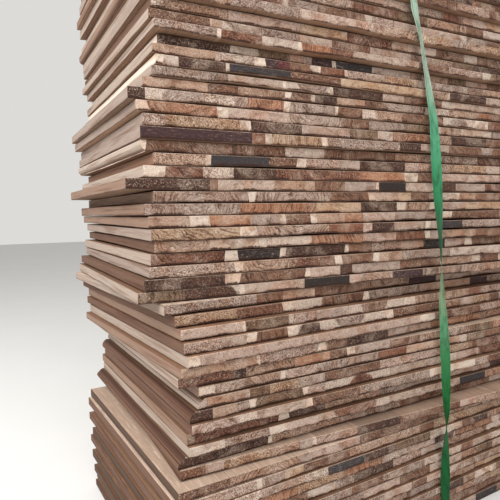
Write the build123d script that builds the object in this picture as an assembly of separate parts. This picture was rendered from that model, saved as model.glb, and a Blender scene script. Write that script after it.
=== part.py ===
"""A tall pile of edge-glued acacia boards with one slack plastic strap round its middle.

Millimetres, +Z up. The boards lie flat, one above the other. X runs across their staves,
Y along the grain. The end grain faces -Y and the side that shows long grain faces -X.
"""

from build123d import *
import math
import os
import random

# Boards as they come from the glue press. One batch in the pile is planed thinner.
board_width = 1220.0
board_length = 550.0
board_thickness = 19.0
thin_board_thickness = 16.2
thin_boards = range(45, 52)
boards_per_node = 2
layer_gap = 0.3

# The pile is several lifts of boards, set down one on the other and not quite in line.
# Each is its number of boards, its yaw in degrees and how far it stands back. Lowest first.
lifts = [(13, 3.4, -35.0), (9, 2.1, -20.0), (6, 4.4, -30.0), (36, 0.0, 0.0)]
yaw_spread = 0.35
front_spread = 3.5
stacking_seed = 11

# How far each board's near left corner stands to the right of the pile's left side,
# lowest board first. Boards 13 to 53 are read from the photograph.
side_shifts = [
    29, 35, 27, 33, 25, 32, 19, 27, 35, 21, 29, 19, 23,
    37, 34, 50, 49, 52, 51, 64, 67, 33,
    33, 42, 38, 37, 33, 17,
    -19, -9, -1, 3, 8, 2, 0, -6,
    10, -32, -5, 11, -7, -9, -4, -13, -24, -1, 12, 18, 14, 25, 15, 10, 15,
    8, 14, 2, 11, 17, 9, -1, 12, 6, 11, 3,
]

# Boards that stand out past their lift or lie back behind its front
set_backs = {
    13: 12.0, 14: 10.0, 16: 7.0, 17: -6.0, 18: -5.0, 19: -4.0,
    22: -7.0, 23: -15.0, 24: -10.0, 25: 3.0, 26: 14.0, 27: 17.0,
    33: -5.0, 41: -7.0, 45: 5.0, 49: 9.0, 50: -8.0, 53: -6.0, 55: 8.0, 57: -8.0,
}

# Boards that lie more askew than their lift, in degrees
askew = {13: -3.0}

# Boards whose left stave keeps the round of the log: which edge, how far in, how far down
wanes = {
    14: ("top", 13.0, 17.0),
    18: ("top", 9.0, 13.0),
    19: ("top", 12.0, 16.0),
    40: ("bottom", 8.0, 10.0),
    55: ("bottom", 7.0, 8.0),
}
wane_bulge = 0.1

# Strap: a polyester band, heat-welded to itself where its ends overlap on the top board
strap_width = 19.0
strap_thickness = 0.9
strap_bend_radius = 1.2
strap_clearance = 0.1
bend_steps = 4
hang_steps = 3
lap_length = 70.0
lap_rise_length = 14.0
weld_length = 30.0
weld_inset = 1.5
weld_gap = 0.05
weld_bite = 0.1
flat_within = 1e-5
strap_top_x = -112.0
strap_bottom_x = 42.0

# The slack front run from the top down: how far across from strap_top_x to strap_bottom_x,
# height as a share of the pile, and turn of the band about its own line in degrees
front_hang = [
    (0.100, 0.945, 1.0),
    (0.241, 0.891, 4.0),
    (0.273, 0.873, 4.0),
    (0.313, 0.856, 15.0),
    (0.370, 0.832, 21.0),
    (0.426, 0.801, 13.0),
    (0.486, 0.770, 3.0),
    (0.558, 0.739, -2.0),
    (0.624, 0.707, -9.0),
    (0.639, 0.683, -18.0),
    (0.657, 0.658, -34.0),
    (0.673, 0.633, -48.0),
    (0.692, 0.608, -62.0),
    (0.708, 0.583, -74.0),
    (0.729, 0.558, -88.0),
    (0.749, 0.533, -106.0),
    (0.779, 0.498, -123.0),
    (0.794, 0.462, -139.0),
    (0.814, 0.429, -163.0),
    (0.832, 0.403, -178.0),
    (0.849, 0.376, -191.0),
    (0.861, 0.350, -203.0),
    (0.886, 0.317, -225.0),
    (0.896, 0.290, -244.0),
    (0.911, 0.260, -257.0),
    (0.925, 0.230, -272.0),
    (0.929, 0.209, -290.0),
    (0.932, 0.185, -319.0),
    (0.935, 0.157, -341.0),
    (0.947, 0.131, -358.0),
    (0.955, 0.109, -379.0),
    (0.954, 0.087, -392.0),
    (0.955, 0.057, -385.0),
    (0.980, 0.025, -368.0),
]
hang_clearance = 1.5
tuck_in_share = 0.15

board_count = sum(boards for boards, yaw, back in lifts)
pile_base = strap_thickness


def thickness_of(index):
    return thin_board_thickness if index in thin_boards else board_thickness


def board_bottom(index):
    return pile_base + sum(thickness_of(below) + layer_gap for below in range(index))


pile_top = board_bottom(board_count) - layer_gap


def place_boards():
    """Gives each board its near left corner and its yaw in degrees, lowest board first."""
    chance = random.Random(stacking_seed)
    places = []
    for boards, lift_yaw, lift_back in lifts:
        for index in range(len(places), len(places) + boards):
            side = side_shifts[index % len(side_shifts)]
            yaw = lift_yaw + askew.get(index, 0) + chance.uniform(-yaw_spread, yaw_spread)
            back = lift_back + set_backs.get(index, 0) + chance.uniform(-front_spread, front_spread)
            places.append(((-board_width / 2 + side, -board_length / 2 + back), yaw))
    return places


def front_face_y(place, x):
    (corner_x, corner_y), yaw = place
    return corner_y + (x - corner_x) * math.tan(math.radians(yaw))


def back_face_y(place, x):
    return front_face_y(place, x) + board_length / math.cos(math.radians(place[1]))


def left_edge(wane, thickness):
    """The board's left side in section, from its lower corner to its upper one."""
    if wane is None:
        return [Line((0, 0), (0, thickness))]
    side, inset, drop = wane
    straight = thickness - drop
    middle = (inset * (0.5 - wane_bulge), straight + drop * (0.5 + wane_bulge))
    points = [(0, 0), (0, straight), middle, (inset, thickness)]
    if side == "bottom":
        points = [(x, thickness - y) for x, y in points]
    return [Line(points[0], points[1]), ThreePointArc(*points[1:])]


def make_board(index, place):
    wane = wanes.get(index)
    thickness = thickness_of(index)
    edges = left_edge(wane, thickness)
    inset_low = wane[1] if wane and wane[0] == "bottom" else 0
    inset_high = wane[1] if wane and wane[0] == "top" else 0
    outline = [
        (inset_low, 0),
        (board_width, 0),
        (board_width, thickness),
        (inset_high, thickness),
    ]
    section = make_face(Curve() + edges + Polyline(*outline))
    upright = Plane(origin=(0, 0, 0), x_dir=(1, 0, 0), z_dir=(0, -1, 0))
    board = extrude(upright * section, amount=-board_length)
    (corner_x, corner_y), yaw = place
    return Pos(corner_x, corner_y, board_bottom(index)) * Rot(0, 0, yaw) * board


def band_section(centre, across, outward):
    """One cross-section of the strap, as its four corners in order."""
    half_width = across.normalized() * (strap_width / 2)
    half_depth = outward.normalized() * (strap_thickness / 2)
    return [
        centre - half_width - half_depth,
        centre + half_width - half_depth,
        centre + half_width + half_depth,
        centre - half_width + half_depth,
    ]


def four_cornered(a, b, c, d):
    """A face over four corners: flat where they lie in one plane, ruled where they don't."""
    normal = (b - a).cross(d - a).normalized()
    if abs(normal.dot(c - a)) < flat_within:
        return Face(Wire.make_polygon([a, b, c, d], close=True))
    return Face.make_surface_from_curves(Edge.make_line(a, d), Edge.make_line(b, c))


def band_between(sections):
    """A closed band from one cross-section to the next, capped at both ends."""
    faces = [four_cornered(*sections[0]), four_cornered(*sections[-1])]
    for before, after in zip(sections, sections[1:]):
        for corner in range(4):
            beside = (corner + 1) % 4
            faces.append(four_cornered(before[corner], before[beside], after[beside], after[corner]))
    return Solid(Shell(faces))


def bend_sections(x, edge_y, edge_z, start):
    """Sections round one edge of the pile, a quarter turn. start is where the outward side points."""
    radius = strap_bend_radius + strap_thickness / 2
    sections = []
    for step in range(bend_steps + 1):
        angle = math.radians(start + 90 * step / bend_steps)
        outward = Vector(0, math.cos(angle), math.sin(angle))
        centre = Vector(x, edge_y, edge_z) + outward * radius
        sections.append(band_section(centre, Vector(1, 0, 0), outward))
    return sections


def smooth_between(points, steps):
    """More points along a list of points, on a smooth curve through all of them."""
    padded = [points[0], *points, points[-1]]
    smooth = []
    for a, b, c, d in zip(padded, padded[1:], padded[2:], padded[3:]):
        for step in range(steps):
            t = step / steps
            smooth.append(tuple(
                0.5 * (2 * q + (r - p) * t + (2 * p - 5 * q + 4 * r - s) * t**2
                       + (3 * q - p - 3 * r + s) * t**3)
                for p, q, r, s in zip(a, b, c, d)
            ))
    return [*smooth, points[-1]]


def foremost(places, x):
    """The foremost front face across the strap's width at x."""
    return min(front_face_y(place, at) for place in places for at in strap_edges(x))


def rearmost(place, x):
    return max(back_face_y(place, at) for at in strap_edges(x))


def strap_edges(x):
    return (x - strap_width / 2, x + strap_width / 2)


def strap_x(height):
    """Where the strap's back run stands at a height, on its straight way from bottom to top."""
    return strap_bottom_x + (strap_top_x - strap_bottom_x) * height / pile_top


def hanging_sections(places, low_front):
    """The slack run down the front, twisting once right round on its way."""
    stations = []
    for across, share, turn in front_hang:
        x = strap_top_x + across * (strap_bottom_x - strap_top_x)
        hung = min(1, share / tuck_in_share)
        face = low_front + hung * (foremost(places, x) - low_front)
        reach = strap_width / 2 * abs(math.sin(math.radians(turn)))
        stations.append((x, face - reach - hang_clearance * hung - strap_thickness, share * pile_top, turn))
    sections = []
    for x, y, z, turn in smooth_between(stations, hang_steps):
        angle = math.radians(turn)
        across = Vector(math.cos(angle), math.sin(angle), 0)
        outward = Vector(math.sin(angle), -math.cos(angle), 0)
        sections.append(band_section(Vector(x, y, z), across, outward))
    return sections


def taut_line(points):
    """The corners where a band pulled tight past points of (height, reach) bends round them."""
    line = []
    for height, reach in points:
        while len(line) > 1:
            (low, first), (mid, second) = line[-2:]
            if (second - first) * (height - low) > (reach - first) * (mid - low):
                break
            line.pop()
        line.append((height, reach))
    return line


def back_line(places, outside):
    """The back run's height and reach at each board edge that holds it out, floor to top."""
    points = []
    for index, place in enumerate(places):
        for height in (board_bottom(index), board_bottom(index) + thickness_of(index)):
            points.append((height, rearmost(place, strap_x(height)) + outside))
    return taut_line(points)


def make_strap(places):
    """The whole strap: over the top, down the front with its slack twist, under and back up."""
    half = strap_thickness / 2
    edge_gap = strap_bend_radius + strap_clearance
    top_front = foremost(places[-1:], strap_top_x) - edge_gap
    low_front = foremost(places[:1], strap_bottom_x) - edge_gap
    back = back_line(places, edge_gap + half)
    low_back = back[0][1] - half
    top_back = back[-1][1] - half
    top_bend_z = pile_top - strap_bend_radius
    low_bend_z = pile_base + strap_bend_radius
    across = Vector(1, 0, 0)

    def on_top(y, z):
        return band_section(Vector(strap_top_x, y, z), across, Vector(0, 0, 1))

    sections = [on_top(lap_length / 2, pile_top + half)]
    sections += bend_sections(strap_top_x, top_front + strap_bend_radius, top_bend_z, 90)
    sections += hanging_sections(places, low_front)
    sections += bend_sections(strap_bottom_x, low_front + strap_bend_radius, low_bend_z, 180)
    sections += bend_sections(strap_bottom_x, low_back - strap_bend_radius, low_bend_z, 270)
    for height, reach in back[1:-1]:
        sections.append(band_section(Vector(strap_x(height), reach, height), across, Vector(0, 1, 0)))
    sections += bend_sections(strap_top_x, top_back - strap_bend_radius, top_bend_z, 0)
    over_lap = pile_top + half + strap_thickness + weld_gap
    sections.append(on_top(lap_length / 2 + lap_rise_length, pile_top + half))
    sections.append(on_top(lap_length / 2, over_lap))
    sections.append(on_top(-lap_length / 2, over_lap))

    weld_height = weld_gap + 2 * weld_bite
    weld = Box(strap_width - 2 * weld_inset, weld_length, weld_height)
    weld_z = pile_top + strap_thickness + weld_gap / 2
    return band_between(sections) + Pos(strap_top_x, 0, weld_z) * weld


def write_node(name, solids, offset):
    moved = [Pos(*offset) * solid for solid in solids]
    shape = moved[0] if len(moved) == 1 else Compound(children=moved)
    export_step(shape, f"parts/{name}.step")


def main():
    places = place_boards()
    boards = [make_board(index, place) for index, place in enumerate(places)]
    strap = make_strap(places)
    box = Compound([*boards, strap]).bounding_box()
    offset = (-(box.min.X + box.max.X) / 2, -(box.min.Y + box.max.Y) / 2, -box.min.Z)
    os.makedirs("parts", exist_ok=True)
    for first in range(0, board_count, boards_per_node):
        group = boards[first:first + boards_per_node]
        write_node(f"boards_{first + 1:02d}_{first + len(group):02d}", group, offset)
    write_node("strap", [strap], offset)
    print("pile top", round(pile_top, 1), "box", box.size, "offset", offset)


main()
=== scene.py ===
"""Dresses the pile of acacia boards: the glued staves of each board, the strap and a plain studio."""

import math
import random

import bpy
from mathutils import Euler, Matrix, Vector


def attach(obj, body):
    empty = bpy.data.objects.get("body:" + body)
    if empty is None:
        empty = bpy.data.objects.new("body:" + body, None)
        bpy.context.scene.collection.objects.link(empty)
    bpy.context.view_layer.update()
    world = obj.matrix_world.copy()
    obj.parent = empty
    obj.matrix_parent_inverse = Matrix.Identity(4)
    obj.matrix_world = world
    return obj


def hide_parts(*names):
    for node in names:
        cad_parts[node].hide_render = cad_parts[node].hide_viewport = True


bl_info = {
    "name": "Acacia board pile",
    "version": (1, 0, 0),
    "blender": (4, 5, 0),
    "location": "3D View > Sidebar > Acacia pile",
    "description": "Glued acacia boards in a strapped pile",
    "category": "Object",
}

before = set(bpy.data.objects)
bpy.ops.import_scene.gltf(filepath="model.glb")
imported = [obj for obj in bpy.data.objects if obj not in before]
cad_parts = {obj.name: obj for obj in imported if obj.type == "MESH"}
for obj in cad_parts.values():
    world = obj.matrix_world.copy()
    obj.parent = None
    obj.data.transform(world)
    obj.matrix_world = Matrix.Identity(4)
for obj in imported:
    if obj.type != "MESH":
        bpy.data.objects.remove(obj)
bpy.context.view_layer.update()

MM = 0.001

# Wood and paint colours, as sRGB values from 0 to 255
TONES = {
    "white": (240, 227, 212),
    "cream": (222, 207, 192),
    "pale": (206, 190, 177),
    "beige": (192, 172, 157),
    "grey": (180, 162, 150),
    "pink": (197, 174, 160),
    "salmon": (196, 158, 138),
    "tan": (188, 159, 138),
    "gold": (196, 168, 140),
    "brown": (142, 108, 87),
    "rust": (142, 100, 79),
    "orange": (182, 138, 110),
    "dark": (94, 66, 52),
    "olive": (140, 117, 95),
    # umber serves partly as painted shade on the left sides of the lowest boards
    "umber": (112, 88, 71),
}
PAINTS = {
    "plum": (58, 36, 38),
    "slate": (50, 46, 48),
    "black": (40, 32, 28),
    "crimson": (88, 36, 36),
}

# The figure of the end grain: ring spacing in mm, ring contrast, speckle, and how far off the
# heart of the log lies in mm, least and most
FIGURES = {
    "p": (7.0, 0.30, 0.35, 60, 140),
    "s": (7.0, 0.35, 1.0, 40, 110),
    "r": (6.5, 0.95, 0.6, 10, 40),
    "l": (5.0, 0.90, 0.45, 110, 220),
    "d": (6.0, 1.00, 0.5, 110, 200),
}

# What the long grain of each board's left side looks like, by board. The umber sides, all low in
# the pile, are partly painted shade: darker as if other piles stood close beside them.
SIDES = {
    "white": (39, 41),
    "cream": (16, 20, 22, 24, 28, 29, 32, 46, 47, 48, 49, 50, 51, 52, 55, 57, 59, 61),
    "pale": (31, 34, 42, 43, 44, 45, 54, 58, 62, 63),
    "tan": (17, 21, 23, 26, 35, 36, 37, 38, 56, 60, 64),
    "brown": (2, 7, 10, 12, 14, 15, 18, 19, 25, 27, 30, 33, 40, 53),
    "umber": (1, 3, 4, 5, 6, 8, 9, 11, 13),
}

# Boards that lie on top of a lift or beside a crooked board, so that their upper face shows, each
# with how dusty that face is at the right. The upper faces of all other boards lie in the gaps and
# get painted shade in full. Board 14's is wider there than the real one's, so dust tones it down.
LEDGE_BOARDS = {12: 0.0, 13: 0.0, 14: 0.5, 22: 0.0, 28: 0.0, 64: 0.0}

# How far across a ledge the dust on it grows to its full share, in metres
LEDGE_DUST_REACH = 0.35

# Staves of the end grain that faces the viewer, from the left: width in mm, tone, figure. Where
# each one ends was read on the photograph and turned into mm by way of the stage's camera.
NOTED_STAVES = {
    54: "132 tan.r, 131 grey.s, 176 pink.p",
    53: "22 cream.s, 105 tan.s, 137 pink.p",
    52: "99 brown.s, 3 cream, 17 tan.p, 73 beige.r, 75 grey.s",
    51: "102 grey.s, 7 cream, 73 rust.r, 70 pale.p, 8 cream, 59 orange.l",
    50: "122 dark.s, 14 cream, 100 olive.l, 29 salmon.p, 17 pink.p, 44 plum, 9 cream, 84 slate",
    49: "102 tan.p, 10 pink.p, 61 pale.r, 21 cream, 23 plum, 24 crimson, 58 brown.l, 6 cream, 53 rust.l, "
        "7 cream",
    48: "12 cream, 24 pale.p, 79 dark.r, 7 pale.p, 115 slate, 106 brown.s",
    47: "126 grey.r, 14 pale.p, 89 beige.p, 6 cream, 93 grey.r, 7 cream",
    46: "105 tan.p, 53 brown.r, 60 tan.r, 30 tan.l, 12 cream, 50 brown.r, 48 dark.r, 65 tan.p",
    45: "26 dark.s, 96 grey.r, 53 cream.s, 24 pink.l, 69 orange.l, 12 cream, 96 grey.r, 7 cream",
    44: "19 cream, 113 orange.r, 19 cream, 116 pink.p, 121 beige.r",
    43: "35 pink.s, 127 gold.s, 20 cream, 100 dark.r, 105 grey.p",
    42: "187 plum, 25 rust.p, 13 pale.p, 102 gold.l, 13 cream, 172 grey.s",
    41: "8 cream, 144 brown.d, 9 dark.p, 93 brown.r, 83 pale.p, 171 brown.l",
    40: "84 tan.s, 10 cream, 30 slate, 76 slate, 56 brown.s, 19 cream, 76 pink.s, 44 grey.p",
    39: "34 cream, 62 rust.d, 54 cream.s, 79 dark.r, 184 rust.r, 110 orange.p, 35 cream, 62 brown.d, "
        "187 pink.p",
    38: "135 dark.s, 14 brown.p, 106 beige.p, 83 tan.p, 67 brown.l, 74 grey.p, 7 cream, 69 black, "
        "74 beige.p, 23 cream, 44 dark.p, 91 grey.p",
    37: "163 grey.r, 13 cream, 155 beige.r, 89 brown.d, 15 cream, 61 tan.p, 32 gold.p, 50 brown.d, "
        "29 grey.p, 47 pale.p, 12 cream, 50 tan.p, 79 brown.p",
    36: "162 grey.r, 154 orange.l, 101 gold.p, 90 dark.r, 90 tan.l, 32 cream, 73 pink.p, 115 gold.p",
    35: "67 beige.p, 34 cream, 73 orange.p, 58 grey.p, 12 cream, 52 brown.r, 13 cream, 63 tan.p, "
        "43 orange.p, 81 pink.p, 110 grey.p, 20 beige.p, 30 cream, 155 brown.s",
    34: "149 gold.d, 32 cream, 147 beige.r, 78 rust.p, 22 pink.p, 55 dark.r, 83 grey.p, 14 cream, "
        "31 beige.p, 62 slate, 121 grey.s",
    33: "92 tan.r, 105 cream.p, 208 orange.l, 83 pink.p, 78 rust.l, 14 cream, 58 grey.p, 80 tan.p, "
        "79 brown.p",
    32: "125 rust.r, 24 cream, 82 black, 12 cream, 130 dark.r, 9 cream, 56 brown.p, 75 pink.s, 64 tan.p, "
        "62 black, 62 pink.p, 22 cream, 94 brown.l",
    31: "145 beige.s, 15 cream, 90 tan.r, 99 rust.s, 16 cream, 74 brown.l, 15 cream, 59 tan.p, "
        "135 grey.r, 159 pale.p",
    30: "135 dark.r, 13 pale.p, 15 cream, 130 brown.r, 11 cream, 67 pink.p, 28 dark.p, 121 grey.p, "
        "113 brown.l, 125 tan.r",
    29: "75 olive.l, 97 dark.r, 9 cream, 120 beige.p, 101 black, 24 pink.p, 83 beige.r, 81 plum, "
        "140 grey.l, 99 tan.r",
    28: "169 grey.s, 55 brown.l, 63 tan.p, 9 cream, 114 brown.l, 142 tan.r, 88 plum, 161 beige.p",
    27: "111 gold.s, 94 rust.r, 29 cream, 165 brown.l, 16 cream, 151 grey.r, 174 tan.p, 66 plum",
    26: "110 pink.p, 6 cream, 87 olive.r, 11 pale.p, 52 pink.s, 77 grey.p, 150 brown.r, 33 cream, "
        "179 tan.l, 48 rust.p",
    25: "66 pink.s, 47 beige.p, 19 cream, 64 brown.l, 22 cream, 50 dark.r, 169 grey.r, 20 cream, "
        "146 brown.s",
    24: "20 cream, 504 pink.p, 47 cream, 157 brown.r",
    23: "137 tan.p, 6 cream, 125 pink.s, 19 cream, 51 brown.l, 109 dark.s, 127 grey.p, 175 orange.r",
    22: "94 rust.s, 26 dark.r, 98 tan.r, 78 orange.p, 40 brown.s, 19 cream, 90 grey.p, 84 rust.r, "
        "157 beige.r",
    21: "28 cream.p, 126 beige.r, 10 cream, 69 pink.r, 148 grey.l, 76 rust.p, 161 tan.p",
    20: "17 grey.p, 54 tan.p, 25 beige.p, 39 olive.l, 63 gold.s, 56 grey.l, 136 brown.r, 173 pink.s",
    19: "40 dark.r, 46 tan.p, 23 grey.r, 12 cream, 98 olive.r, 11 cream, 39 pink.s, 164 rust.r, "
        "147 beige.p",
    18: "118 pink.r, 103 beige.p, 13 cream, 111 brown.r, 192 grey.s, 145 cream",
    17: "14 olive.p, 160 rust.r, 21 cream, 81 dark.r, 138 tan.s, 175 grey.r, 171 pink.p",
    16: "63 cream.p, 87 grey.s, 37 cream, 101 beige.p, 145 rust.r, 212 beige.p, 87 slate",
    15: "169 dark.r, 8 cream, 154 tan.s, 159 grey.l, 221 brown.r",
    14: "43 brown.s, 34 pink.p, 89 gold.s, 59 tan.r, 26 grey.p, 9 cream, 93 pink.r, 107 dark.r, "
        "168 brown.l",
    13: "91 brown.s, 141 tan.r, 27 grey.p, 115 pink.p, 167 brown.r",
    12: "146 pink.s, 10 cream, 47 grey.l, 41 gold.p, 108 brown.r, 194 tan.s",
}

# The slack front run of the strap from the top down: how far across from its place on top to
# its place at the floor, height as a share of the pile, and turn of the band in degrees. Its line
# was read and worked out as the staves were, and then smoothed.
FRONT_HANG = [
    (0.100, 0.945, 1), (0.205, 0.891, 4), (0.228, 0.873, 4), (0.250, 0.856, 15),
    (0.295, 0.832, 23), (0.355, 0.801, 21), (0.423, 0.770, 11), (0.490, 0.739, 0),
    (0.535, 0.707, -9), (0.546, 0.683, -18), (0.548, 0.658, -34), (0.550, 0.633, -48),
    (0.556, 0.608, -62), (0.564, 0.583, -74), (0.578, 0.558, -88), (0.597, 0.533, -106),
    (0.628, 0.498, -123), (0.656, 0.462, -139), (0.690, 0.429, -163), (0.714, 0.403, -178),
    (0.724, 0.376, -191), (0.727, 0.350, -203), (0.724, 0.317, -225), (0.722, 0.290, -244),
    (0.724, 0.260, -257), (0.730, 0.230, -272), (0.742, 0.209, -290), (0.775, 0.185, -319),
    (0.825, 0.157, -346), (0.862, 0.131, -367), (0.880, 0.109, -379), (0.893, 0.087, -392),
    (0.925, 0.057, -385), (0.980, 0.025, -368),
]

# The strap's green by height as a share of the pile, with painted light and shade: pale at the top,
# deep low down, and lighter and darker in turn as the twisted band turns each face to the light
STRAP_GREENS_LIT_AND_SHADED = [
    (0.08, (0, 76, 34)), (0.16, (4, 84, 40)), (0.25, (28, 94, 48)), (0.31, (40, 100, 58)),
    (0.36, (74, 122, 88)), (0.42, (122, 144, 112)), (0.50, (58, 102, 74)), (0.60, (40, 112, 74)),
    (0.71, (76, 140, 108)), (0.78, (142, 166, 148)),
]

# What the other staves are drawn from: narrowest and widest in mm, and each look with its share
COMMON_WIDTHS = (38, 118)
NARROWEST_LAST_STAVE = 30
COMMON_STAVES = {
    "cream.p": 5, "cream.s": 2, "pale.p": 4, "beige.p": 5, "beige.r": 4, "grey.r": 6, "grey.s": 4,
    "grey.l": 3, "pink.p": 4, "pink.s": 4, "tan.r": 5, "tan.s": 4, "tan.l": 3, "gold.s": 3,
    "gold.p": 2, "orange.l": 3, "orange.r": 2, "rust.r": 4, "rust.l": 2, "brown.r": 6,
    "brown.l": 5, "brown.d": 3, "dark.r": 4, "dark.s": 2, "olive.l": 2, "plum": 1, "slate": 1,
}


def linear(rgb):
    """An sRGB colour from 0 to 255 as Blender's linear colour with alpha."""
    return tuple(((c / 255 + 0.055) / 1.055) ** 2.4 if c > 10 else c / 255 / 12.92 for c in rgb) + (1.0,)


class Output:
    """What a node gives. Arithmetic on it adds Math nodes to the same tree."""

    def __init__(self, wiring, socket):
        self.wiring = wiring
        self.socket = socket

    def __add__(self, other):
        return self.wiring.math("ADD", self, other)

    def __sub__(self, other):
        return self.wiring.math("SUBTRACT", self, other)

    def __rsub__(self, other):
        return self.wiring.math("SUBTRACT", other, self)

    def __mul__(self, other):
        return self.wiring.math("MULTIPLY", self, other)

    def __truediv__(self, other):
        return self.wiring.math("DIVIDE", self, other)

    def __abs__(self):
        return self.wiring.math("ABSOLUTE", self)


class Wiring:
    """Adds nodes to a tree and joins them, so that a tree reads as a list of steps."""

    def __init__(self, tree):
        self.tree = tree

    def join(self, socket, value):
        if isinstance(value, Output):
            value = value.socket
        if isinstance(value, bpy.types.NodeSocket):
            self.tree.links.new(value, socket)
        elif value is not None:
            socket.default_value = value

    def add(self, kind, *values, settings=None, out=0, **named):
        """A node of this kind with values on its inputs, in order or by name. Gives one output."""
        node = self.tree.nodes.new(kind)
        for name, value in (settings or {}).items():
            setattr(node, name, value)
        for socket, value in zip(node.inputs, values):
            self.join(socket, value)
        for name, value in named.items():
            self.join(node.inputs[name.replace("_", " ")], value)
        return Output(self, node.outputs[out])

    def math(self, operation, *values):
        return self.add("ShaderNodeMath", *values, settings={"operation": operation})

    def line(self, value, slope, start):
        """A value times a slope, from a start."""
        return self.math("MULTIPLY_ADD", value, slope, start)

    def vector(self, operation, *values):
        out = "Value" if operation == "LENGTH" else 0
        return self.add("ShaderNodeVectorMath", *values, settings={"operation": operation}, out=out)

    def scaled(self, vector, factor):
        """A vector times a number."""
        return self.add("ShaderNodeVectorMath", vector, settings={"operation": "SCALE"}, Scale=factor)

    def parts(self, vector):
        """The x, y and z of a vector."""
        node = self.add("ShaderNodeSeparateXYZ", vector).socket.node
        return [Output(self, socket) for socket in node.outputs]

    def attribute(self, name, out="Vector"):
        return self.add("ShaderNodeAttribute", settings={"attribute_name": name}, out=out)

    def ramp(self, value, low, high, to_low=0.0, to_high=1.0):
        """Goes smoothly from to_low to to_high as value goes from low to high."""
        settings = {"interpolation_type": "SMOOTHSTEP"}
        return self.add("ShaderNodeMapRange", value, low, high, to_low, to_high, settings=settings)

    def blend(self, factor, first, second, how="MIX"):
        """Two colours mixed."""
        node = self.tree.nodes.new("ShaderNodeMix")
        node.data_type = "RGBA"
        node.blend_type = how
        self.join(node.inputs[0], factor)
        self.join(node.inputs[6], first)
        self.join(node.inputs[7], second)
        return Output(self, node.outputs[2])

    def shaded(self, colour, amount, by):
        """A colour darkened by an sRGB filter, as far as amount says."""
        return self.blend(amount, colour, self.blend(1.0, colour, linear(by), "MULTIPLY"))

    def noise(self, vector, scale, detail=2.0, rough=0.5, out=0, **fourth):
        """A noise texture, with a fourth dimension where W is given."""
        settings = {"noise_dimensions": "4D" if fourth else "3D"}
        return self.add("ShaderNodeTexNoise", settings=settings, out=out, Vector=vector, Scale=scale,
                        Detail=detail, Roughness=rough, **fourth)


class GeometryWiring(Wiring):
    """Builds a Geometry Nodes tree with named inputs for its sizes and for its finish."""

    def __init__(self, name, sizes):
        super().__init__(bpy.data.node_groups.new(name, "GeometryNodeTree"))
        sockets = self.tree.interface
        for way in ("INPUT", "OUTPUT"):
            sockets.new_socket("Geometry", in_out=way, socket_type="NodeSocketGeometry")
        for title, default in sizes.items():
            socket = sockets.new_socket(title, in_out="INPUT", socket_type="NodeSocketFloat")
            socket.default_value = default
        sockets.new_socket("Finish", in_out="INPUT", socket_type="NodeSocketMaterial")
        self.given = self.tree.nodes.new("NodeGroupInput").outputs

    def stored(self, name, kind="FLOAT_VECTOR"):
        settings = {"data_type": kind}
        return self.add("GeometryNodeInputNamedAttribute", settings=settings, Name=name)

    def store(self, geometry, name, value):
        settings = {"data_type": "FLOAT_VECTOR", "domain": "POINT"}
        return self.add("GeometryNodeStoreNamedAttribute", settings=settings, Geometry=geometry,
                        Name=name, Value=value)

    def combined(self, x, y, z):
        return self.add("ShaderNodeCombineXYZ", x, y, z)

    def choose(self, switch, no, yes):
        return self.add("GeometryNodeSwitch", switch, no, yes, settings={"input_type": "FLOAT"})

    def compare(self, first, second, operation="GREATER_THAN"):
        settings = {"data_type": "FLOAT", "operation": operation}
        return self.add("FunctionNodeCompare", first, second, settings=settings)

    def finished(self, geometry):
        """The whole tree, which puts out this geometry in its finish."""
        dressed = self.add("GeometryNodeSetMaterial", Geometry=geometry, Material=self.given["Finish"])
        self.join(self.tree.nodes.new("NodeGroupOutput").inputs[0], dressed)
        return self.tree


def point_mesh(name, points, edges, columns):
    """A mesh of points that carry columns of numbers, vectors or colours for a tree to read."""
    mesh = bpy.data.meshes.new(name)
    mesh.from_pydata(points, edges, [])
    for key, values in columns.items():
        if isinstance(values[0], float):
            mesh.attributes.new(key, "FLOAT", "POINT").data.foreach_set("value", values)
            continue
        kind, slot = ("FLOAT_COLOR", "color") if len(values[0]) == 4 else ("FLOAT_VECTOR", "vector")
        flat = [number for value in values for number in value]
        mesh.attributes.new(key, kind, "POINT").data.foreach_set(slot, flat)
    return mesh


def new_object(name, data):
    """A new object with this data, in the scene."""
    thing = bpy.data.objects.new(name, data)
    bpy.context.scene.collection.objects.link(thing)
    return thing


def grown(name, points, tree, values):
    """Runs a Geometry Nodes tree on a mesh and keeps the result as a plain mesh object."""
    source = new_object(name + "_source", points)
    modifier = source.modifiers.new(tree.name, "NODES")
    modifier.node_group = tree
    for item in tree.interface.items_tree:
        if item.in_out == "INPUT" and item.name in values:
            modifier[item.identifier] = values[item.name]
    source.update_tag()
    evaluated = source.evaluated_get(bpy.context.evaluated_depsgraph_get())
    mesh = bpy.data.meshes.new_from_object(evaluated)
    bpy.data.objects.remove(source)
    mesh.name = name
    return new_object(name, mesh)


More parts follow.
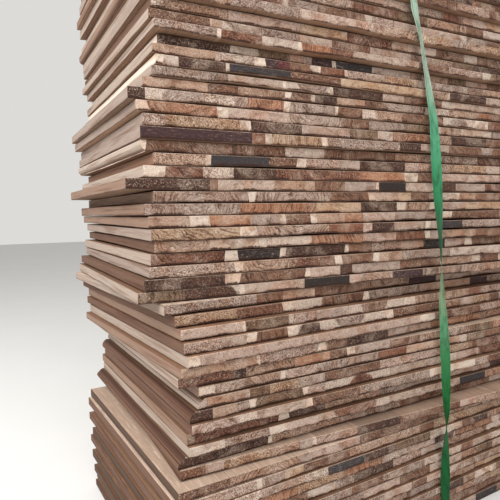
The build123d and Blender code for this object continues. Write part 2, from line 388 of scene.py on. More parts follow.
class Board:
    """Where one board of the pile lies, read from its CAD solid."""

    def __init__(self, number, vertices):
        self.number = number
        self.bottom = min(v.z for v in vertices)
        self.thickness = max(v.z for v in vertices) - self.bottom
        near_left = min(vertices, key=lambda v: v.x + v.y)
        near_right = max(vertices, key=lambda v: v.x - v.y)
        far_left = min(vertices, key=lambda v: v.x - v.y)
        self.corner = Vector((near_left.x, near_left.y))
        across = Vector((near_right.x, near_right.y)) - self.corner
        along = Vector((far_left.x, far_left.y)) - self.corner
        self.width = across.length
        self.length = along.length
        self.across = across.normalized()
        self.along = along.normalized()
        self.yaw = math.atan2(self.across.y, self.across.x)
        self.wane = self.read_wane(vertices)

    def read_wane(self, vertices):
        """How far in and how high the round of the log cuts the left side, and at which edge."""
        side = {}
        for v in vertices:
            across = (Vector((v.x, v.y)) - self.corner).dot(self.across)
            up = round(v.z - self.bottom, 5)
            side[up] = min(across, side.get(up, across))
        lowest, highest = side[min(side)], side[max(side)]
        straight = [up for up, across in side.items() if across < 0.2 * MM]
        if highest > MM:
            return highest, self.thickness - max(straight), 1.0
        if lowest > MM:
            return lowest, min(straight), -1.0
        return 0.0, 0.0, 0.0

    def point(self, across, along, up):
        """A place on the board in metres from its lower near left corner."""
        flat = self.corner + self.across * across + self.along * along
        return Vector((flat.x, flat.y, self.bottom + up))

    def front_y(self, x):
        """The front face's y at an x."""
        return self.corner.y + (x - self.corner.x) * math.tan(self.yaw)

    def back_y(self, x):
        """The back face's y at an x."""
        return self.front_y(x) + self.length / math.cos(self.yaw)


def read_boards():
    """Every node of boards with its two boards, lowest first."""
    nodes = {}
    for name in sorted(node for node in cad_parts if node.startswith("boards")):
        vertices = [v.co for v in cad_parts[name].data.vertices]
        levels = sorted({round(v.z, 5) for v in vertices})
        below, above = min(zip(levels, levels[1:]), key=lambda pair: pair[1] - pair[0])
        middle = (below + above) / 2
        first = int(name.split("_")[1])
        nodes[name] = [
            Board(first, [v for v in vertices if v.z < middle]),
            Board(first + 1, [v for v in vertices if v.z > middle]),
        ]
    return nodes


def list_staves(board, chance):
    """The board's staves from the left: width in metres and what it looks like."""
    staves = []
    for item in filter(None, NOTED_STAVES.get(board.number, "").split(",")):
        width, look = item.split()
        staves.append((float(width) * MM, look))
    rest = board.width - sum(width for width, look in staves)
    looks, shares = zip(*COMMON_STAVES.items())
    while rest > 0:
        width = chance.uniform(*COMMON_WIDTHS) * MM
        if rest - width < NARROWEST_LAST_STAVE * MM:
            width = rest
        staves.append((width, chance.choices(looks, shares)[0]))
        rest -= width
    return staves


def sapwood_slants(staves, chance):
    """How far each line between two staves slants. It does beside sapwood, and a glue joint doesn't."""
    steepest = 2.5 * MM
    most_share = 0.2
    slants = [0.0]
    for (width, look), (next_width, next_look) in zip(staves, staves[1:]):
        most = min(width * most_share, next_width * most_share, steepest)
        slants.append(chance.choice((-1, 1)) * chance.uniform(0.1, 1.0) * most
                      if "cream" in (look, next_look) else 0.0)
    return slants + [0.0]


def side_colour(number):
    """The colour of a board's left side where it is known, with its alpha as how far it is used."""
    for tone, numbers in SIDES.items():
        if number in numbers:
            return linear(TONES[tone])
    return (0.0, 0.0, 0.0, 0.0)


def shade_and_dust_share(number, start):
    """How far a stave's upper face is darkened: in full in a gap, as painted shade, and on a ledge as
    dust, more towards the right.
    """
    if number not in LEDGE_BOARDS:
        return 1.0
    return LEDGE_BOARDS[number] * min(1.0, start / LEDGE_DUST_REACH)


def stave_look(look, chance):
    """The numbers that a stave's finish reads: tone, paint, figure and the heart of the log."""
    no_sapwood = 9.0
    sapwood_chance = 0.18
    tone, _, figure = look.partition(".")
    paint = (0.0, 0.0, 0.0, 0.0)
    if tone in PAINTS:
        paint = linear(PAINTS[tone])
        tone = chance.choice(("brown", "grey", "dark"))
    spacing, contrast, speckle, least, most = FIGURES[figure or "p"]
    if tone == "cream" and not figure:
        contrast, speckle = 0.12, 0.15
    shade = chance.uniform(0.92, 1.06)
    colour = [c * shade for c in linear(TONES[tone])[:3]] + [1.0]
    angles = {"l": (-25, 25), "d": (35, 55)}.get(figure, (40, 140))
    angle = math.radians(chance.uniform(*angles) + chance.choice((0, 180)))
    away = chance.uniform(least, most) * MM
    heart = (away * math.cos(angle), chance.uniform(-5, 5), away * math.sin(angle))
    spacing *= chance.uniform(0.8, 1.3)
    sap = away + chance.uniform(10, 26) * MM if chance.random() < sapwood_chance else no_sapwood
    if tone in ("cream", "pale") or figure in ("p", "s"):
        sap = no_sapwood
    return {
        "tone": colour,
        "paint": paint,
        "figure": (spacing, contrast * chance.uniform(0.8, 1.15), speckle),
        "heart": heart,
        "sap": sap,
    }


def stave_points(name, boards, seed):
    """One vertex for each stave of a node's boards, with what the tree and the finish read."""
    rows = []
    for board in boards:
        chance = random.Random(seed * 1000 + board.number)
        staves = list_staves(board, chance)
        slants = sapwood_slants(staves, chance)
        start = 0.0
        for place, (width, look) in enumerate(staves):
            side = -1 if place == 0 else 1 if place == len(staves) - 1 else 0
            rows.append({
                "centre": board.point(start + width / 2, board.length / 2, board.thickness / 2),
                "size": (width, board.length, board.thickness),
                "lie": (board.yaw, side, board.number),
                "slant": (slants[place], slants[place + 1], 0.0),
                "wane": board.wane if place == 0 else (0.0, 0.0, 0.0),
                "flank": side_colour(board.number),
                # The upper face's darkening: painted shade in the gaps, dust on the ledges
                "shade_and_dust": shade_and_dust_share(board.number, start),
                **stave_look(look, chance),
            })
            start += width
    columns = {key: [row[key] for row in rows] for key in rows[0]}
    return point_mesh(name, columns["centre"], [], columns)


def board_tree():
    """Sets a block on each stave's point, sizes it, breaks its edges and opens the gaps."""
    w = GeometryWiring("Glue up boards", {"Edge break": 0.0008, "Gap": 0.0031, "Seed": 3.0})
    wane_inset, wane_depth, wane_edge = w.parts(w.stored("wane"))
    waned = w.compare(wane_depth, 0.0)
    blocks = w.tree.nodes.new("GeometryNodeJoinGeometry")
    # A block's vertices across, along and up. The round of a log takes more rows.
    across, along, rows, round_rows = 4, 3, 4, 10
    for up, picked in ((rows, 1.0 - waned), (round_rows, waned)):
        block = w.add("GeometryNodeMeshCube", (2, 2, 2), across, along, up)
        placed = w.add("GeometryNodeInstanceOnPoints", Points=w.given["Geometry"],
                       Selection=picked, Instance=block)
        w.join(blocks.inputs[0], placed)
    staves = w.add("GeometryNodeRealizeInstances", blocks.outputs[0])

    # A block goes from -1 to 1 each way about its centre. Past near_face a vertex is on a face.
    near_face = 0.9
    centre = w.stored("centre")
    unit_x, unit_y, unit_z = w.parts(w.vector("SUBTRACT", w.add("GeometryNodeInputPosition"), centre))
    half_x, half_y, half_z = w.parts(w.scaled(w.stored("size"), 0.5))
    yaw, side, number = w.parts(w.stored("lie"))
    broken = w.given["Edge break"]

    outer_row = w.compare(abs(unit_z), near_face)
    height = w.choose(outer_row, half_z - broken, half_z)
    z = w.choose(waned, w.math("SIGN", unit_z) * height, unit_z * half_z)
    y = unit_y * half_y

    rightness = w.line(unit_x, 0.5, 0.5)
    slant_left, slant_right, _ = w.parts(w.stored("slant"))
    slant = w.add("ShaderNodeMapRange", rightness, 0.0, 1.0, slant_left, slant_right)
    slanted = slant * (z / half_z)
    into_wane = w.math("MAXIMUM", z * wane_edge - (half_z - wane_depth), 0.0)
    wane_share = into_wane / w.math("MAXIMUM", wane_depth, 0.0001)
    roundness = 1.8
    round_cut = w.math("POWER", wane_share, roundness) * wane_inset * (1.0 - rightness) * waned
    x = unit_x * half_x + (slanted + round_cut)

    at_end = w.compare(abs(unit_y), near_face)
    at_side = w.compare(unit_x * side, near_face)
    worn_x = x - w.math("SIGN", unit_x) * (outer_row * at_side * broken)
    worn_y = y - w.math("SIGN", unit_y) * (outer_row * at_end * broken)
    turned = w.add("ShaderNodeVectorRotate", settings={"rotation_type": "Z_AXIS"},
                   Vector=w.combined(worn_x, worn_y, z), Angle=yaw)
    placed = w.vector("ADD", centre, turned)

    # The gap opens under a board's rim, and the rim's upper edge is a little ragged.
    lot = w.line(number, 3.7, w.given["Seed"])
    where = w.noise(placed, 5.0, 3.0, 0.6, W=lot)
    ragged = w.noise(placed, 160.0, 1.0, W=number)
    opened = w.ramp(where, 0.42, 0.62, 0.0, 0.9) + ragged * 0.30
    rim = w.math("MAXIMUM", at_end, at_side)
    lift = opened * w.given["Gap"] * (rim * w.compare(unit_z, -0.1, "LESS_THAN"))
    deepest_wear = 0.0004
    wear = rim * w.compare(unit_z, 0.1) * (ragged * -deepest_wear)
    shifted = w.vector("ADD", placed, w.combined(0.0, 0.0, lift + wear))

    from_joint = (1.0 - abs(unit_x)) * half_x
    sapwood_line = w.compare(abs(slanted), 0.0)
    edges = w.combined(from_joint + sapwood_line, z + half_z, half_z - z)
    grain = w.vector("SUBTRACT", w.combined(x, y, z), w.stored("heart"))
    # The values are kept before the points move, because they are worked out from the blocks.
    kept = w.store(w.store(staves, "grain", grain), "edges", edges)
    return w.finished(w.add("GeometryNodeSetPosition", Geometry=kept, Position=shifted))


def smooth_between(rows, steps):
    """More rows along a list of rows of numbers, on a smooth curve through all of them."""
    padded = [rows[0], *rows, rows[-1]]
    smooth = []
    for a, b, c, d in zip(padded, padded[1:], padded[2:], padded[3:]):
        for step in range(steps):
            t = step / steps
            smooth.append(tuple(
                0.5 * (2 * q + (r - p) * t + (2 * p - 5 * q + 4 * r - s) * t**2
                       + (3 * q - p - 3 * r + s) * t**3)
                for p, q, r, s in zip(a, b, c, d)
            ))
    return [*smooth, rows[-1]]


def taut_line(points):
    """The points of (height, reach) that a band pulled tight past all of them bends round."""
    line = []
    for height, reach in points:
        while len(line) > 1:
            (low, first), (mid, second) = line[-2:]
            if (second - first) * (height - low) > (reach - first) * (mid - low):
                break
            line.pop()
        line.append((height, reach))
    return line


def reach_at(line, height):
    """The reach of a line of (height, reach) at a height."""
    for (low, first), (high, second) in zip(line, line[1:]):
        if height <= high:
            return first + (second - first) * (height - low) / (high - low)
    return line[-1][1]


class StrapPath:
    """The strap's way round the pile. A station is its centre, its way across and its outer side."""

    across = Vector((1, 0, 0))

    def __init__(self, boards, settings):
        self.boards = boards
        self.half_width = settings.width / 2
        self.thickness = settings.thickness
        self.bend = settings.bend_radius
        self.clearance = settings.clearance
        self.top_x = settings.top_x
        self.bottom_x = settings.bottom_x
        self.lap = settings.lap
        self.weld = settings.weld
        self.top = boards[-1].bottom + boards[-1].thickness
        self.base = boards[0].bottom

    def edges(self, x):
        return (x - self.half_width, x + self.half_width)

    def board_edges(self):
        """Each board with the height of its lower and of its upper edge, floor to top."""
        for board in self.boards:
            for height in (board.bottom, board.bottom + board.thickness):
                yield board, height

    def front_line(self):
        """How far forward the slack run leans at each board that holds it off, floor to top."""
        return taut_line([(height, -self.foremost([board], self.back_x(height)))
                          for board, height in self.board_edges()])

    def foremost(self, boards, x):
        return min(board.front_y(at) for board in boards for at in self.edges(x))

    def rearmost(self, board, x):
        return max(board.back_y(at) for at in self.edges(x))

    def back_x(self, height):
        return self.bottom_x + (self.top_x - self.bottom_x) * height / self.top

    def quarter_turn(self, x, y, z, start):
        """Round one edge of the pile. The outer side points start degrees up from the back."""
        steps = 8
        stations = []
        for step in range(steps + 1):
            angle = math.radians(start + 90 * step / steps)
            outward = Vector((0, math.cos(angle), math.sin(angle)))
            centre = Vector((x, y, z)) + outward * (self.bend + self.thickness / 2)
            stations.append((centre, self.across, outward))
        return stations

    def hanging(self, low_front):
        """The slack run down the front, twisting once right round on its way."""
        tuck_in_share = 0.15
        hang_clearance = 1.5 * MM
        steps_between = 6
        line = self.front_line()
        rows = []
        for aside, share, turn in FRONT_HANG:
            x = self.top_x + aside * (self.bottom_x - self.top_x)
            hung = min(1, share / tuck_in_share)
            face = low_front + hung * (-reach_at(line, share * self.top) - low_front)
            reach = self.half_width * abs(math.sin(math.radians(turn)))
            y = face - reach - hang_clearance * hung - self.thickness
            rows.append((x, y, share * self.top, turn))
        stations = []
        for x, y, z, turn in smooth_between(rows, steps_between):
            angle = math.radians(turn)
            across = Vector((math.cos(angle), math.sin(angle), 0))
            outward = Vector((math.sin(angle), -math.cos(angle), 0))
            stations.append((Vector((x, y, z)), across, outward))
        return stations

    def on_top(self, y, z):
        return (Vector((self.top_x, y, z)), self.across, Vector((0, 0, 1)))

    def welded_lap(self):
        """The end that lies over the start of the strap, with the ribs of the weld."""
        weld_gap = 0.05 * MM
        rib = 1.5 * MM
        rib_depth = 0.12 * MM
        lying = self.top + self.thickness * 1.5 + weld_gap
        stations = [self.on_top(self.lap / 2, lying)]
        for step in range(int(self.weld / rib) + 1):
            y = self.weld / 2 - step * rib
            stations.append(self.on_top(y, lying - rib_depth * (step % 2)))
        return stations + [self.on_top(-self.lap / 2, lying)]

    def stations(self):
        """The whole strap: over the top, down the slack front, under the pile and back up."""
        half = self.thickness / 2
        rise = 14 * MM
        edge_gap = self.bend + self.clearance
        top_front = self.foremost(self.boards[-1:], self.top_x) - edge_gap
        low_front = self.foremost(self.boards[:1], self.bottom_x) - edge_gap
        back = taut_line([(height, self.rearmost(board, self.back_x(height)) + edge_gap + half)
                          for board, height in self.board_edges()])
        low_back = back[0][1] - half
        top_back = back[-1][1] - half
        high = self.top - self.bend
        low = self.base + self.bend
        way = [self.on_top(self.lap / 2, self.top + half)]
        way += self.quarter_turn(self.top_x, top_front + self.bend, high, 90)
        way += self.hanging(low_front)
        way += self.quarter_turn(self.bottom_x, low_front + self.bend, low, 180)
        way += self.quarter_turn(self.bottom_x, low_back - self.bend, low, 270)
        for height, reach in back[1:-1]:
            way.append((Vector((self.back_x(height), reach, height)), self.across, Vector((0, 1, 0))))
        way += self.quarter_turn(self.top_x, top_back - self.bend, high, 0)
        way.append(self.on_top(self.lap / 2 + rise, self.top + half))
        return way + self.welded_lap()


def station_line(name, stations):
    """The strap's stations as a line of vertices that carry what the tree reads."""
    centres, across, outward = zip(*stations)
    travelled = [0.0]
    for here, after in zip(centres, centres[1:]):
        travelled.append(travelled[-1] + (after - here).length)
    edges = [(n, n + 1) for n in range(len(centres) - 1)]
    columns = {"centre": centres, "across": across, "outward": outward, "travelled": travelled}
    return point_mesh(name, centres, edges, columns)


def strap_tree():
    """Sweeps the band's rounded section along its stations, turned the way each station says."""
    w = GeometryWiring("Lay the strap", {"Width": 0.019, "Thickness": 0.0009, "Edge round": 0.0003})
    section = w.add("GeometryNodeCurvePrimitiveQuadrilateral", w.given["Width"], w.given["Thickness"])
    section = w.add("GeometryNodeFilletCurve", settings={"mode": "POLY"}, Curve=section, Count=1,
                    Radius=w.given["Edge round"])
    section = w.add("GeometryNodeSubdivideCurve", section, 3)
    section = w.store(section, "section", w.add("GeometryNodeInputPosition"))
    line = w.add("GeometryNodeMeshToCurve", w.given["Geometry"])
    band = w.add("GeometryNodeCurveToMesh", Curve=line, Profile_Curve=section, Fill_Caps=True)

    aside, out, _ = w.parts(w.stored("section"))
    place = w.vector("ADD", w.stored("centre"), w.scaled(w.stored("across"), aside))
    place = w.vector("ADD", place, w.scaled(w.stored("outward"), out))
    band = w.store(band, "run", w.combined(aside, w.stored("travelled", "FLOAT"), out))
    band = w.add("GeometryNodeSetPosition", Geometry=band, Position=place)
    return w.finished(w.add("GeometryNodeSetShadeSmooth", band, True, False))


def new_material(name, wiring=Wiring):
    """A material with an empty tree but for its shader and output. Gives it, its wiring and shader."""
    material = bpy.data.materials.new(name)
    material.use_nodes = True
    tree = material.node_tree
    return material, wiring(tree), tree.nodes["Principled BSDF"]


class AcaciaWiring(Wiring):
    """What all layers of the boards' finish read. Every length in it is in millimetres."""

    def __init__(self, tree):
        super().__init__(tree)
        self.grain = self.scaled(self.attribute("grain"), 1000.0)
        edges = self.scaled(self.attribute("edges"), 1000.0)
        self.from_joint, self.from_bottom, self.from_top = self.parts(edges)
        self.spacing, self.contrast, self.speckle = self.parts(self.attribute("figure"))
        normal = self.add("ShaderNodeTexCoord", out="Normal")
        self.normal_x, normal_y, self.normal_z = self.parts(normal)
        self.end = self.ramp(abs(normal_y), 0.6, 0.8)

        # Grain runs along y, so every pattern is drawn out that way.
        self.drawn = self.along_grain(1.0, 0.03, 1.0)
        warp = self.noise(self.drawn, 0.035, 3.0, 0.6, out="Color")
        warp = self.scaled(self.vector("SUBTRACT", warp, (0.5, 0.5, 0.5)), 26.0)
        self.bent = self.vector("ADD", self.drawn, warp)
        self.mottle = self.noise(self.bent, 0.42, 3.0, 0.75)
        self.fibre = self.noise(self.bent, 0.9, 3.0, 0.8)
        self.blotch = self.noise(self.drawn, 0.05, 4.0, 0.65)
        self.warmth = self.noise(self.drawn, 0.022, 2.0, 0.5)

    def along_grain(self, across, along, up):
        """The place in the log, drawn out by a factor each way."""
        return self.vector("MULTIPLY", self.grain, (across, along, up))


def late_wood(w, radius):
    """How dark the growth rings are at a distance from the heart."""
    turns = w.line(w.mottle, 1.1, radius) / w.spacing
    ring = w.math("POWER", w.math("FRACT", turns), 3.5)
    each = w.add("ShaderNodeTexWhiteNoise", settings={"noise_dimensions": "1D"},
                 W=w.math("FLOOR", turns))
    growth = w.add("ShaderNodeTexNoise", settings={"noise_dimensions": "1D"}, W=radius, Scale=0.11,
                   Detail=4.0, Roughness=0.75)
    late = ring * w.line(each, 1.3, 0.2) + w.ramp(growth, 0.45, 0.60, 0.0, 0.6)
    return late * (w.contrast * w.ramp(w.blotch, 0.3, 0.6, 0.4, 1.0))


def open_pores(w):
    """How much of the end grain is pores, coarse and fine."""
    coarse, fine = (w.add("ShaderNodeTexVoronoi", Vector=w.bent, Scale=scale, out="Distance")
                    for scale in (0.40, 0.75))
    pores = w.math("MAXIMUM", w.ramp(coarse, 0.20, 0.36, 1.0, 0.0), w.ramp(fine, 0.16, 0.32, 0.8, 0.0))
    return pores * w.line(w.speckle, 0.75, 0.15)


def end_grain(w, pores):
    """Rings round the heart of the log, warm and grey areas, sapwood, flecks and pores."""
    cream = linear(TONES["cream"])
    radius = w.vector("LENGTH", w.vector("MULTIPLY", w.bent, (1.0, 0.0, 1.0)))
    warm = w.ramp(w.warmth, 0.50, 0.62, 0.0, 0.8)
    wood = w.shaded(w.attribute("tone", "Color"), warm, (244, 225, 212))
    wood = w.blend(w.ramp(w.warmth, 0.48, 0.38, 0.0, 0.30), wood, linear((208, 192, 177)))
    wood = w.shaded(wood, late_wood(w, radius), (140, 112, 94))
    wood = w.shaded(wood, w.ramp(w.blotch, 0.48, 0.70, 0.0, 0.9), (196, 176, 162))

    sap = w.attribute("sap", "Fac") * 1000.0
    wood = w.blend(w.ramp(radius - sap, -2.5, 2.5) * 0.75, wood, cream)
    wood = w.shaded(wood, w.ramp(w.mottle, 0.47, 0.60) * w.speckle, (158, 132, 116))
    wood = w.blend(w.ramp(w.mottle, 0.45, 0.35) * (w.speckle * 0.55), wood, cream)
    wood = w.shaded(wood, pores, (118, 92, 78))
    return w.shaded(wood, w.ramp(w.fibre, 0.42, 0.62, 0.0, 0.75), (182, 162, 150))


def long_faces(w, wood):
    """Planed long faces, paler and smoother than the sawn ends. The left sides have their own. Painted
    shade darkens the upper faces in the gaps, the undersides and the lower edge of the left sides.
    """
    planed = w.blend(0.45, wood, linear((214, 190, 168)))
    streaks = w.noise(w.along_grain(0.5, 0.012, 0.35), 1.0, 5.0, 0.7)
    cathedral = w.noise(w.along_grain(0.1, 0.004, 0.12), 1.0, 2.0, 0.6)
    flank = w.attribute("flank", "Color")
    flank = w.shaded(flank, w.ramp(streaks, 0.42, 0.70, 0.0, 0.5), (205, 184, 168))
    flank = w.shaded(flank, w.ramp(cathedral, 0.50, 0.68, 0.0, 0.7), (198, 174, 158))
    # Painted shade along the lower edge of the left sides, beside the gap below.
    gap_edge_shade = w.ramp(w.from_bottom, 0.8, 2.4, 0.7, 0.0) * w.ramp(streaks, 0.35, 0.6)
    flank = w.shaded(flank, gap_edge_shade, (120, 94, 78))
    side = w.ramp(w.normal_x * -1.0, 0.3, 0.5) * w.attribute("flank", "Alpha")
    planed = w.blend(side, planed, flank)
    # Upper faces in the gaps are darkened in full, as painted shade; those that lie open get less, as
    # dust.
    shade_and_dust_mask = w.ramp(w.normal_z, 0.6, 0.8) * w.attribute("shade_and_dust", "Fac")
    planed = w.shaded(planed, shade_and_dust_mask, (164, 140, 123))
    # Painted shade: undersides are darker, as if no light came up from below.
    return w.shaded(planed, w.ramp(w.normal_z, -0.6, -0.8), (206, 186, 170))


def end_paint(w, wood):
    """The paint that some staves carry on their ends, scratched and worn thin."""
    scratched = w.noise(w.along_grain(0.12, 0.2, 1.1), 0.7, 3.0, 0.7)
    left = w.ramp(scratched, 0.56, 0.68, 1.0, 0.25) * w.ramp(w.mottle, 0.30, 0.46, 0.66, 1.0)
    streaks = w.ramp(w.fibre, 0.4, 0.7, 0.0, 0.8)
    coat = w.shaded(w.attribute("paint", "Color"), streaks, (150, 140, 140))
    return w.blend(w.attribute("paint", "Alpha") * w.end * left, wood, coat)


def sawn_edges(w, wood, tear, torn_edge_shade):
    """The end's torn lower edge, near black as painted shade of the gap; the end darker towards that
    edge; a painted highlight along the upper edge; and the glue joints.
    """
    # Painted shade: the torn lower edge of each end is made near black, as the gap below it is dark.
    wood = w.blend(torn_edge_shade * 0.96, wood, linear((50, 23, 13)))
    # The end is darker towards its lower edge.
    wood = w.shaded(wood, w.ramp(w.from_bottom, 0.0, 7.0, 0.5, 0.0) * w.end, (200, 172, 152))
    # Painted highlight: a pale line along the upper edge of the end grain.
    edge_highlight = w.ramp(w.from_top, 0.2, 1.3, 0.55, 0.0) * w.end * w.ramp(tear, 0.4, 0.6)
    wood = w.blend(edge_highlight, wood, linear((226, 206, 188)))
    return w.shaded(wood, w.ramp(w.from_joint, 0.12, 0.45, 0.6, 0.0), (110, 84, 70))


def acacia_finish():
    """Solid acacia: sawn end grain, planed long faces, end paint and torn edges, with painted shade and
    painted highlights along the edges.
    """
    material, w, shader = new_material("acacia_board", AcaciaWiring)
    pores = open_pores(w)
    wood = end_grain(w, pores)
    wood = w.blend(w.end, long_faces(w, wood), wood)
    wood = end_paint(w, wood)
    tear = w.noise(w.along_grain(1.0, 0.02, 0.0), 0.35, 3.0, 0.8)
    tear_height = w.line(tear, 11.0, w.ramp(w.warmth, 0.40, 0.58, -5.2, -2.4))
    # The torn lower edge of each end, ragged, which sawn_edges fills with painted shade.
    torn_edge_shade = w.ramp(w.from_bottom - tear_height, -0.5, 0.7, 1.0, 0.0) * w.end
    w.join(shader.inputs["Base Color"], sawn_edges(w, wood, tear, torn_edge_shade))
    w.join(shader.inputs["Roughness"], w.ramp(w.fibre, 0.3, 0.7, 0.62, 0.82))
    shader.inputs["Specular IOR Level"].default_value = 0.3

    saw_marks = w.noise(w.along_grain(1.4, 0.0, 0.25), 1.0, 2.0)
    relief = saw_marks * 0.4 - pores * 0.8 - torn_edge_shade * 0.9
    bump = w.add("ShaderNodeBump", Strength=0.5, Distance=0.0004, Height=relief)
    w.join(shader.inputs["Normal"], bump)
    return material


def strap_finish(height):
    """Embossed green plastic with a lengthwise crease and painted light and shade: greens by height, a
    paler lit half high up, painted shade along the crease, painted glints on the emboss. Lengths are in
    millimetres.
    """
    material, w, shader = new_material("strap_green")
    run = w.scaled(w.attribute("run"), 1000.0)
    across, along, _ = w.parts(run)
    share = w.parts(w.add("ShaderNodeTexCoord", out="Object"))[2] / height
    # Painted light and shade: the green changes with height.
    low, green = STRAP_GREENS_LIT_AND_SHADED[0]
    colour = linear(green)
    for high, green in STRAP_GREENS_LIT_AND_SHADED[1:]:
        colour = w.blend(w.ramp(share, low, high), colour, linear(green))
        low = high

    # The upper run of the strap, where the painted light, crease shade and glints are strongest.
    high_up = w.ramp(share, 0.68, 0.76)
    streak = w.noise(w.vector("MULTIPLY", run, (0.45, 0.02, 0.0)), 1.0, 4.0, 0.7)
    cloud = w.noise(w.vector("MULTIPLY", run, (0.1, 0.03, 0.0)), 1.0, 3.0, 0.6)
    # Painted light: high up, the right half of the band is paler in streaks, as if a lengthwise fold
    # turned it to the light.
    pale = w.ramp(across, 0.0, 6.0, 0.25, 0.9) * w.ramp(streak, 0.40, 0.62)
    colour = w.blend(pale * w.line(high_up, 0.7, 0.02), colour, linear((188, 196, 178)))
    # Painted shade along a lengthwise crease left of the band's middle, strongest high up.
    crease = -6.5
    from_crease = abs(across - crease)
    crease_shade = w.ramp(from_crease, 0.4, 1.6, 1.0, 0.0) * w.line(high_up, 0.5, 0.25)
    darker = w.blend(1.0, colour, linear((150, 160, 140)), "MULTIPLY")
    colour = w.blend(crease_shade, colour, darker)
    colour = w.blend(w.ramp(cloud, 0.45, 0.68, 0.0, 0.6), colour, darker)

    pitch = 2.4
    waves = [w.math("SINE", w.line(across, slope, along) * (2 * math.pi / pitch))
             for slope in (0.5, -0.5)]
    emboss = w.math("MAXIMUM", *waves) * w.ramp(abs(across), 7.8, 8.6, 1.0, 0.0)
    glint = w.ramp(emboss, 0.2, 0.95) * w.line(high_up, 0.05, 0.01)
    colour = w.blend(glint, colour, w.blend(1.0, colour, linear((225, 235, 225)), "SCREEN"))
    w.join(shader.inputs["Base Color"], colour)
    w.join(shader.inputs["Roughness"], w.ramp(streak, 0.35, 0.7, 0.34, 0.52))
    shader.inputs["Specular IOR Level"].default_value = 0.1
    bump = w.add("ShaderNodeBump", Strength=0.5, Distance=0.0003, Height=emboss)
    w.join(shader.inputs["Normal"], bump)
    return material


class BoardSettings(bpy.types.PropertyGroup):
    """Sizes of the boards' edges and of the gaps between them."""

    edge_break: bpy.props.FloatProperty(
        name="Edge break", description="How far the boards' sharp edges are worn back",
        default=0.0008, min=0.0, max=0.003, unit="LENGTH")
    gap: bpy.props.FloatProperty(
        name="Gap", description="Widest gap between two boards at their ends",
        default=0.0031, min=0.0, max=0.006, unit="LENGTH")
    seed: bpy.props.IntProperty(
        name="Seed", description="Picks the staves that the photograph doesn't show",
        default=5, min=0)


class StrapSettings(bpy.types.PropertyGroup):
    """Sizes of the strap and where it lies."""

    width: bpy.props.FloatProperty(
        name="Width", description="Width of the band", default=0.019, min=0.005, unit="LENGTH")
    thickness: bpy.props.FloatProperty(
        name="Thickness", description="Thickness of the band", default=0.0009, min=0.0003,
        unit="LENGTH")
    edge_round: bpy.props.FloatProperty(
        name="Edge round", description="Radius of the band's long edges", default=0.0003, min=0.0001,
        unit="LENGTH")
    bend_radius: bpy.props.FloatProperty(
        name="Bend radius", description="Inner radius where it goes round an edge of the pile",
        default=0.0012, min=0.0005, unit="LENGTH")
    clearance: bpy.props.FloatProperty(
        name="Clearance", description="Gap between the band and the boards it passes",
        default=0.0001, min=0.0, unit="LENGTH")
    top_x: bpy.props.FloatProperty(
        name="Place on top", description="Where the band crosses the top board",
        default=-0.129139, unit="LENGTH")
    bottom_x: bpy.props.FloatProperty(
        name="Place at the floor", description="Where the band crosses below the lowest board",
        default=0.024861, unit="LENGTH")
    lap: bpy.props.FloatProperty(
        name="Lap", description="How far the band's ends overlap", default=0.070, min=0.02,
        unit="LENGTH")
    weld: bpy.props.FloatProperty(
        name="Weld", description="Length of the ribbed weld in the lap", default=0.030, min=0.01,
        unit="LENGTH")


class StudioSettings(bpy.types.PropertyGroup):
    """The plain floor and light that the pile is shown in."""

    floor_colour: bpy.props.FloatVectorProperty(
        name="Floor colour", description="Colour of the floor and of the background",
        default=(0.72, 0.71, 0.69), size=3, min=0.0, max=1.0, subtype="COLOR")
    sky_strength: bpy.props.FloatProperty(
        name="Sky strength", description="Soft light from all round",
        default=0.62, min=0.0, max=2.0)
    left_power: bpy.props.FloatProperty(
        name="Left lamp power", description="Power of the large lamp at the left",
        default=165.0, min=0.0, unit="POWER")
    front_power: bpy.props.FloatProperty(
        name="Front lamp power", description="Power of the large lamp in front of the end grain",
        default=84.0, min=0.0, unit="POWER")


class OBJECT_OT_glue_boards(bpy.types.Operator):
    """Makes every board of the pile from its glued staves"""

    bl_idname = "object.acacia_glue_boards"
    bl_label = "Glue up the boards"

    def execute(self, context):
        settings = context.scene.acacia_boards
        tree = board_tree()
        finish = acacia_finish()
        for name, boards in read_boards().items():
            points = stave_points(name + "_points", boards, settings.seed)
            piece = grown(name + "_staves", points, tree, {
                "Edge break": settings.edge_break,
                "Gap": settings.gap,
                "Finish": finish,
            })
            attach(piece, "root")
            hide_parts(name)
        return {"FINISHED"}


class OBJECT_OT_lay_strap(bpy.types.Operator):
    """Lays the slack, twisted and welded strap round the pile"""

    bl_idname = "object.acacia_lay_strap"
    bl_label = "Lay the strap"

    def execute(self, context):
        settings = context.scene.acacia_strap
        boards = [board for pair in read_boards().values() for board in pair]
        path = StrapPath(boards, settings)
        line = station_line("strap_line", path.stations())
        piece = grown("strap_band", line, strap_tree(), {
            "Width": settings.width,
            "Thickness": settings.thickness,
            "Edge round": settings.edge_round,
            "Finish": strap_finish(path.top),
        })
        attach(piece, "root")
        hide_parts("strap")
        return {"FINISHED"}


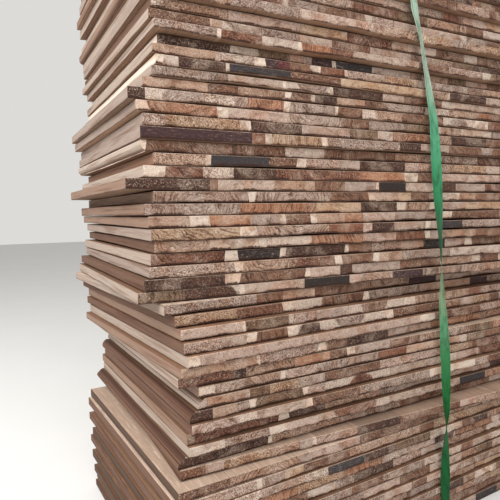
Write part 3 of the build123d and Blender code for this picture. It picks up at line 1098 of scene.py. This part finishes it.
class OBJECT_OT_acacia_stage(bpy.types.Operator):
    """Sets the floor, the light and the camera"""

    bl_idname = "object.acacia_stage"
    bl_label = "Set the stage"

    def execute(self, context):
        settings = context.scene.acacia_studio
        scene = context.scene
        scene.view_settings.view_transform = "Standard"
        colour = (*settings.floor_colour, 1.0)

        reach = 12.0
        mesh = bpy.data.meshes.new("floor")
        corners = [(-reach, -reach, 0), (reach, -reach, 0), (reach, reach, 0), (-reach, reach, 0)]
        mesh.from_pydata(corners, [], [(0, 1, 2, 3)])
        floor = new_object("floor", mesh)
        material, w, shader = new_material("studio_floor")
        place = w.add("ShaderNodeTexCoord", out="Object")
        mottle = w.noise(place, 3.0, 4.0)
        darker = tuple(c * 0.94 for c in settings.floor_colour) + (1.0,)
        w.join(shader.inputs["Base Color"], w.blend(mottle, darker, colour))
        shader.inputs["Roughness"].default_value = 0.9
        mesh.materials.append(material)

        world = bpy.data.worlds.new("studio")
        scene.world = world
        world.use_nodes = True
        nodes = world.node_tree.nodes
        w = Wiring(world.node_tree)
        light = nodes["Background"]
        light.inputs["Color"].default_value = (1.0, 0.985, 0.96, 1.0)
        light.inputs["Strength"].default_value = settings.sky_strength
        shown = nodes.new("ShaderNodeBackground")
        shown.inputs["Color"].default_value = colour
        path = nodes.new("ShaderNodeLightPath").outputs
        seen = w.math("MAXIMUM", path["Is Camera Ray"],
                      w.math("MAXIMUM", path["Is Glossy Ray"], path["Is Transmission Ray"]))
        either = w.add("ShaderNodeMixShader", seen, light.outputs[0], shown.outputs[0])
        w.join(nodes["World Output"].inputs["Surface"], either)

        for name, place, power in (
            ("left_lamp", (-2.9, -0.8, 3.1), settings.left_power),
            ("front_lamp", (-1.2, -3.2, 2.8), settings.front_power),
        ):
            lamp = bpy.data.lights.new(name, "AREA")
            lamp.shape = "DISK"
            lamp.size = 2.6
            lamp.energy = power
            stand = new_object(name, lamp)
            stand.location = place
            aim = Vector((0, 0, 0.6)) - stand.location
            stand.rotation_euler = aim.to_track_quat("-Z", "Y").to_euler()

        lens = bpy.data.cameras.new("camera")
        lens.sensor_width = 36.0
        lens.lens = 36.36
        camera = new_object("camera", lens)
        camera.location = (-0.8455, -1.0444, 0.6812)
        tilt, turn, roll = (math.radians(angle) for angle in (85.658, -27.592, -0.869))
        aimed = Euler((tilt, 0.0, turn)).to_matrix()
        camera.rotation_euler = (aimed @ Matrix.Rotation(roll, 3, "Z")).to_euler()
        scene.camera = camera
        return {"FINISHED"}


class VIEW3D_PT_acacia_pile(bpy.types.Panel):
    """Shows the pile's settings and the buttons that build it"""

    bl_label = "Acacia pile"
    bl_space_type = "VIEW_3D"
    bl_region_type = "UI"
    bl_category = "Acacia pile"

    def draw(self, context):
        layout = self.layout
        for settings_name in SETTINGS:
            group = getattr(context.scene, settings_name)
            for name in group.__annotations__:
                layout.prop(group, name)
        for operator in OPERATORS:
            layout.operator(operator.bl_idname)


SETTINGS = {
    "acacia_boards": BoardSettings,
    "acacia_strap": StrapSettings,
    "acacia_studio": StudioSettings,
}
OPERATORS = (OBJECT_OT_glue_boards, OBJECT_OT_lay_strap, OBJECT_OT_acacia_stage)


def register():
    for kind in (*SETTINGS.values(), *OPERATORS, VIEW3D_PT_acacia_pile):
        bpy.utils.register_class(kind)
    for name, kind in SETTINGS.items():
        setattr(bpy.types.Scene, name, bpy.props.PointerProperty(type=kind))


def unregister():
    for name in SETTINGS:
        delattr(bpy.types.Scene, name)
    for kind in (*SETTINGS.values(), *OPERATORS, VIEW3D_PT_acacia_pile):
        bpy.utils.unregister_class(kind)


def main():
    register()
    bpy.ops.object.acacia_glue_boards()
    bpy.ops.object.acacia_lay_strap()
    bpy.ops.object.acacia_stage()


if __name__ == "__main__":
    main()
